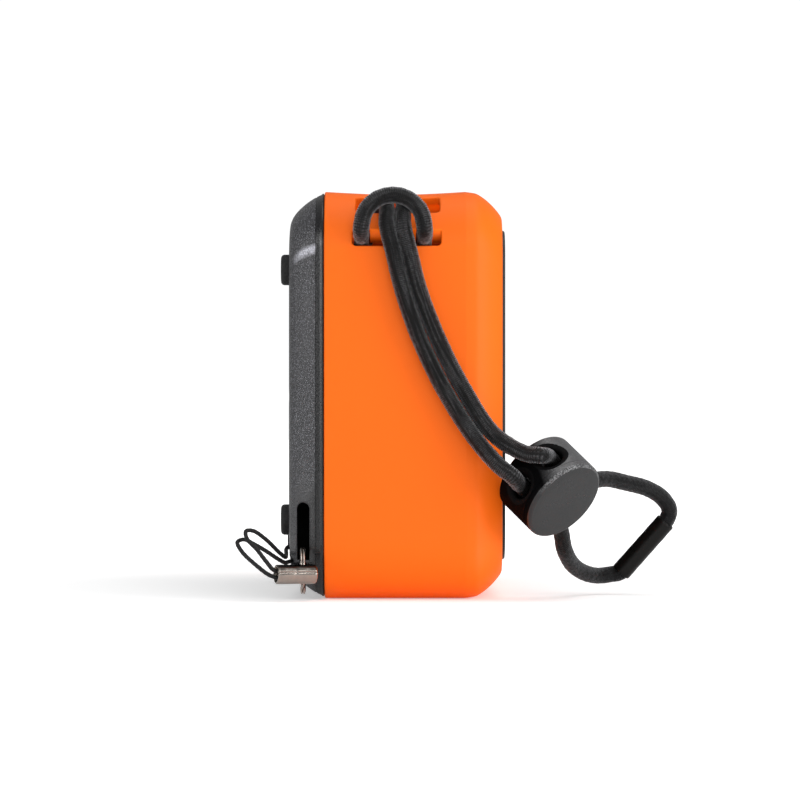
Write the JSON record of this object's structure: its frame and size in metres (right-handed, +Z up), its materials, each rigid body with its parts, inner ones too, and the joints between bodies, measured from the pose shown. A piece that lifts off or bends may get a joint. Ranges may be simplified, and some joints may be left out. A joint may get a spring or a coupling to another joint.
{
  "type": "portable bluetooth speaker",
  "caption": "Outdoor bluetooth speaker in a two-shell housing, with a bungee carry loop and cord lock on a strap bar, top keys, and a tethered port plug.",
  "frame": {"origin": "on the resting plane, under the middle of the housing", "axes": "+Z up, +Y out of the rear face, so the grille faces -Y; +X along the housing, away from the end with the carry loop"},
  "size_m": [0.14, 0.1056, 0.0968],
  "materials": {
    "orange_shell": "fine matte moulded plastic",
    "dark_shell": "sparkled fine-textured moulded plastic",
    "black_plastic": "matte",
    "lock_plastic": "satin moulded plastic",
    "black_rubber": "matte",
    "braided_cord": "braided shock-cord sheath",
    "tether_cord": "fine braided cord",
    "sleeve_gloss": "glossy shrunk tube",
    "nickel": "bright nickel plate",
    "grille_steel": "dark powder coat",
    "zinc_steel": "zinc plated",
    "ferrite": "sintered ceramic",
    "cone_paper": "coated paper",
    "copper": "copper wire and foil",
    "circuit_board": "solder mask",
    "cell_wrap": "shrink wrap",
    "light_pipe": "clear",
    "cable_sheath": "flexible sheath"
  },
  "bodies": {
    "root": {"front_housing": "orange_shell", "rear_housing": "dark_shell", "main_gasket": "black_rubber", "front_grille": "grille_steel", "driver_baffle": "black_plastic", "driver_basket": "zinc_steel", "driver_magnet": "ferrite", "driver_yoke": "zinc_steel", "driver_surround": "black_rubber", "radiator_frame": "black_plastic", "radiator_surround": "black_rubber", "main_pcb": "circuit_board", "radio_shield": "zinc_steel", "usb_socket": "zinc_steel", "aux_socket": "black_plastic", "battery_cell": "cell_wrap", "battery_holder": "black_plastic", "key_pcb": "circuit_board", "key_membrane": "black_rubber", "led_light_pipe": "light_pipe", "rear_foot_1": "black_rubber", "rear_foot_2": "black_rubber", "rear_foot_3": "black_rubber", "rear_foot_4": "black_rubber", "housing_screw_1": "zinc_steel", "housing_screw_2": "zinc_steel", "housing_screw_3": "zinc_steel", "housing_screw_4": "zinc_steel", "housing_screw_5": "zinc_steel", "housing_screw_6": "zinc_steel", "tether_ferrule": "nickel", "tether_cord": "tether_cord", "driver_cable": "cable_sheath", "battery_cable": "cable_sheath"},
    "strap": {"bungee_cord": "braided_cord", "cord_sleeve": "sleeve_gloss"},
    "cord_lock": {"cord_lock_barrel": "lock_plastic", "cord_lock_spring": "zinc_steel"},
    "lock_plunger": {"cord_lock_plunger": "lock_plastic"},
    "ring": {"split_ring": "nickel"},
    "plug": {"port_plug": "black_rubber"},
    "key_1": {"button_1": "orange_shell"},
    "key_2": {"button_2": "orange_shell"},
    "key_3": {"button_3": "orange_shell"},
    "key_4": {"button_4": "orange_shell"},
    "key_5": {"button_5": "orange_shell"},
    "cone": {"driver_cone": "cone_paper", "voice_coil": "copper"},
    "radiator": {"radiator_plate": "black_plastic"}
  },
  "joints": [
    {"name": "strap_swing", "type": "hinge", "parent": "root", "child": "strap", "pos_m": [-0.0633, 0, 0.08885], "axis": [0, 1, 0], "range_deg": [0, 60], "deforming": ["bungee_cord"]},
    {"name": "cord_lock_slide", "type": "slide", "parent": "strap", "child": "cord_lock", "axis": [-0.8244, 0.4002, 0.4002], "range_m": [-0.0025, 0.001], "deforming": ["bungee_cord"]},
    {"name": "plunger_press", "type": "slide", "parent": "cord_lock", "child": "lock_plunger", "axis": [-0.566, -0.583, -0.583], "range_m": [0, 0.0018], "deforming": ["cord_lock_spring"]},
    {"name": "ring_spin", "type": "hinge", "parent": "root", "child": "ring", "pos_m": [-0.0636, 0.02175, 0.00695], "axis": [0, 1, 0], "continuous": true},
    {"name": "plug_pull", "type": "slide", "parent": "root", "child": "plug", "axis": [0, 1, 0], "range_m": [0, 0.008], "deforming": ["tether_cord"]},
    {"name": "button_1_press", "type": "slide", "parent": "root", "child": "key_1", "axis": [0, 0, -1], "range_m": [0, 0.0006]},
    {"name": "button_2_press", "type": "slide", "parent": "root", "child": "key_2", "axis": [0, 0, -1], "range_m": [0, 0.0006]},
    {"name": "button_3_press", "type": "slide", "parent": "root", "child": "key_3", "axis": [0, 0, -1], "range_m": [0, 0.0006]},
    {"name": "button_4_press", "type": "slide", "parent": "root", "child": "key_4", "axis": [0, 0, -1], "range_m": [0, 0.0006]},
    {"name": "button_5_press", "type": "slide", "parent": "root", "child": "key_5", "axis": [0, 0, -1], "range_m": [0, 0.0006]},
    {"name": "cone_travel", "type": "slide", "parent": "root", "child": "cone", "axis": [0, -1, 0], "range_m": [-0.001, 0.001], "deforming": ["driver_surround"]},
    {"name": "radiator_travel", "type": "slide", "parent": "root", "child": "radiator", "axis": [0, -1, 0], "range_m": [-0.0015, 0.0015], "deforming": ["radiator_surround"]}
  ],
  "couplings": [
    {"joint": "radiator_travel", "follows": "cone_travel", "ratio": -1}
  ]
}
